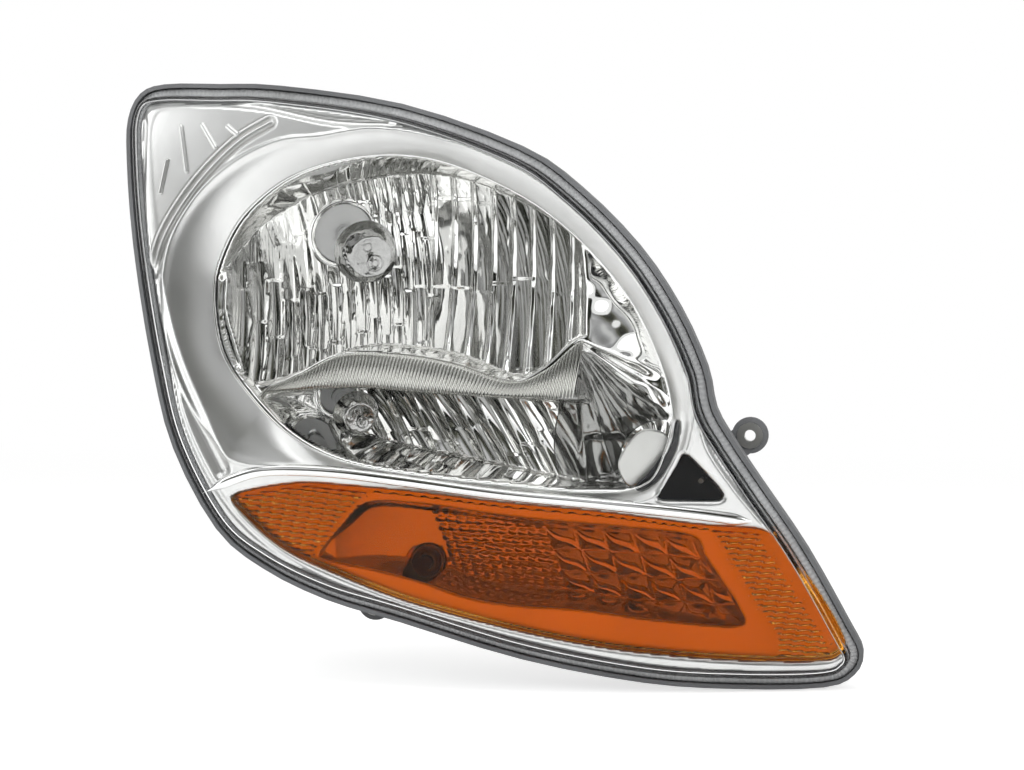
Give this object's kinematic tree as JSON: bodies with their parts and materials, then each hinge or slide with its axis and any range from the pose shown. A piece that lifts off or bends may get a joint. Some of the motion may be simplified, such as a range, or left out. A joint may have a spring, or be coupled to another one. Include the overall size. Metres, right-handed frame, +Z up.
{
  "type": "car headlight assembly",
  "caption": "Headlight unit with a clear dome lens, chrome bezel, two reflector bowls, amber indicator and rear housing.",
  "frame": {"origin": "centre of the upper mounting bush's bore, at the rear face of its tab", "axes": "+X towards the inner side of the lamp seen from the front, +Y towards the back of the car, +Z up"},
  "size_m": [0.4305, 0.2178, 0.3458],
  "materials": {
    "housing_plastic": "moulded dark grey plastic with a fine grain",
    "clear_lens": "clear hard-coated plastic, polished",
    "sealant": "black butyl bead, dull",
    "bezel_chrome": "vacuum-metallised plastic, satin and bright areas",
    "zinc_steel": "zinc-plated steel",
    "amber_plastic": "clear amber plastic with ribs on its back",
    "reflector_chrome": "vacuum-metallised, bright",
    "black_plastic": "black moulded plastic",
    "seal_rubber": "soft black rubber",
    "bulb_glass": "clear bulb glass",
    "shield_chrome": "bright pressed metal",
    "bulb_metal": "pressed metal bulb base",
    "spring_steel": "bright spring wire",
    "nylon": "natural nylon",
    "pin_brass": "tinned brass pins"
  },
  "bodies": {
    "housing": {"housing": "housing_plastic", "lens": "clear_lens", "lens_sealant": "sealant", "bezel": "bezel_chrome", "bezel_screws": "zinc_steel", "amber_filter": "amber_plastic", "indicator_reflector": "reflector_chrome", "pivot_stud": "zinc_steel", "levelling_motor": "black_plastic", "motor_seal": "seal_rubber", "side_adjuster": "black_plastic", "connector_socket": "black_plastic", "connector_pins": "pin_brass", "vent_caps": "seal_rubber", "mount_bushes": "zinc_steel"},
    "pivot_socket": {"pivot_socket": "nylon"},
    "reflector": {"main_reflector": "reflector_chrome", "dipped_shield": "shield_chrome", "main_shield": "shield_chrome", "dipped_bulb_base": "bulb_metal", "dipped_bulb_glass": "bulb_glass", "main_bulb_base": "bulb_metal", "main_bulb_glass": "bulb_glass", "height_socket": "nylon", "side_socket": "nylon"},
    "dipped_clip": {"dipped_clip": "spring_steel"},
    "main_clip": {"main_clip": "spring_steel"},
    "height_rod": {"height_rod": "zinc_steel"},
    "side_rod": {"side_rod": "zinc_steel"},
    "height_knob": {"height_knob": "nylon"},
    "side_knob": {"side_knob": "nylon"},
    "dipped_cover": {"dipped_cover": "black_plastic", "dipped_seal": "seal_rubber"},
    "main_cover": {"main_cover": "black_plastic", "main_seal": "seal_rubber"},
    "indicator_holder": {"indicator_holder": "black_plastic", "indicator_seal": "seal_rubber", "indicator_bulb": "bulb_glass"}
  },
  "joints": [
    {"name": "reflector_tilt", "type": "hinge", "parent": "housing", "child": "pivot_socket", "pos_m": [-0.012, -0.047, 0.022], "axis": [1, 0, 0], "range_deg": [-2, 2]},
    {"name": "reflector_swivel", "type": "hinge", "parent": "pivot_socket", "child": "reflector", "pos_m": [-0.012, -0.047, 0.022], "axis": [0, 0, 1], "range_deg": [-1.5, 1.5]},
    {"name": "height_rod_slide", "type": "slide", "parent": "housing", "child": "height_rod", "axis": [0, 1, 0], "range_m": [-0.0037, 0.0037]},
    {"name": "height_knob_turn", "type": "hinge", "parent": "housing", "child": "height_knob", "pos_m": [-0.012, -0.047, -0.078], "axis": [0, 1, 0], "range_deg": [-1350, 1350]},
    {"name": "side_rod_slide", "type": "slide", "parent": "housing", "child": "side_rod", "axis": [0, 1, 0], "range_m": [-0.0064, 0.0064]},
    {"name": "side_knob_turn", "type": "hinge", "parent": "housing", "child": "side_knob", "pos_m": [-0.242, -0.047, 0.022], "axis": [0, 1, 0], "range_deg": [-2400, 2400]},
    {"name": "dipped_cover_turn", "type": "hinge", "parent": "housing", "child": "dipped_cover", "pos_m": [-0.18996, 0.05272, 0.06442], "axis": [-0.4271, 0.8758, 0.225], "range_deg": [0, 30]},
    {"name": "main_cover_turn", "type": "hinge", "parent": "housing", "child": "main_cover", "pos_m": [-0.19503, 0.04668, -0.02913], "axis": [-0.4271, 0.8758, 0.225], "range_deg": [0, 30]},
    {"name": "dipped_clip_swing", "type": "hinge", "parent": "reflector", "child": "dipped_clip", "pos_m": [-0.16486, 0.00125, 0.07686], "axis": [0.8988, 0.4384, 0], "range_deg": [0, 60]},
    {"name": "main_clip_swing", "type": "hinge", "parent": "reflector", "child": "main_clip", "pos_m": [-0.16625, -0.01233, -0.02479], "axis": [0.8988, 0.4384, 0], "range_deg": [0, 60]},
    {"name": "indicator_holder_turn", "type": "hinge", "parent": "housing", "child": "indicator_holder", "pos_m": [-0.099, -0.035, -0.14], "axis": [0, 1, 0], "range_deg": [0, 35]}
  ],
  "couplings": [
    {"joint": "height_rod_slide", "follows": "reflector_tilt", "m_per_rad": 0.1},
    {"joint": "height_knob_turn", "follows": "reflector_tilt", "ratio": 628.32},
    {"joint": "side_rod_slide", "follows": "reflector_swivel", "m_per_rad": -0.23},
    {"joint": "side_knob_turn", "follows": "reflector_swivel", "ratio": -1445.1}
  ]
}
